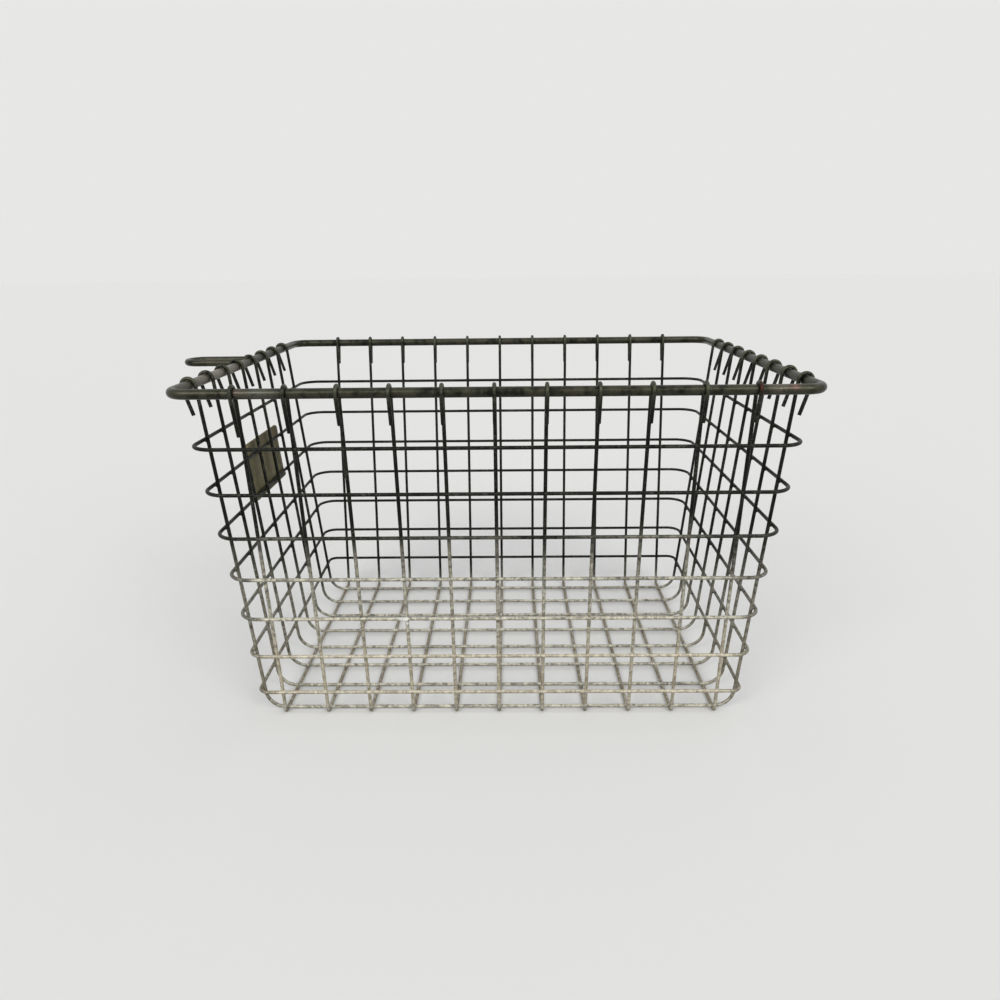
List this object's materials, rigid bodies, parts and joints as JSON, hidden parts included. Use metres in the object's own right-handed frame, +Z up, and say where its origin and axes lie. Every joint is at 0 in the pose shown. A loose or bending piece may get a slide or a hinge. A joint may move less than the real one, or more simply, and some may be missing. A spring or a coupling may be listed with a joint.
{
  "type": "wire locker basket",
  "caption": "Welded steel wire basket with a heavy rim, flared walls, hooked wire ends, a hasp loop and a bare number plate on one end.",
  "frame": {"origin": "middle of the floor of the basket, at the level of the surface it stands on", "axes": "+Z up; X along the length, with the hasp loop and the number plate on the end at -X; Y along the width, with the front at -Y"},
  "size_m": [0.3603, 0.2478, 0.2001],
  "materials": {
    "wire_steel": "aged galvanised wire, grey-green patina, soft sheen",
    "rim_steel": "aged galvanised rod, dark olive patina, soft sheen",
    "plate_steel": "aged sheet steel, olive-brown patina, dull"
  },
  "bodies": {
    "root": {"rim": "rim_steel", "hasp_loop": "rim_steel", "number_plate": "plate_steel", "cross_wire_01": "wire_steel", "cross_wire_02": "wire_steel", "cross_wire_03": "wire_steel", "cross_wire_04": "wire_steel", "cross_wire_05": "wire_steel", "cross_wire_06": "wire_steel", "cross_wire_07": "wire_steel", "cross_wire_08": "wire_steel", "cross_wire_09": "wire_steel", "cross_wire_10": "wire_steel", "cross_wire_11": "wire_steel", "long_wire_01": "wire_steel", "long_wire_02": "wire_steel", "long_wire_03": "wire_steel", "long_wire_04": "wire_steel", "long_wire_05": "wire_steel", "long_wire_06": "wire_steel", "long_wire_07": "wire_steel", "long_wire_08": "wire_steel", "hoop_1": "wire_steel", "hoop_2": "wire_steel", "hoop_3": "wire_steel", "hoop_4": "wire_steel", "hoop_5": "wire_steel", "hoop_6": "wire_steel", "hoop_7": "wire_steel"}
  },
  "joints": []
}
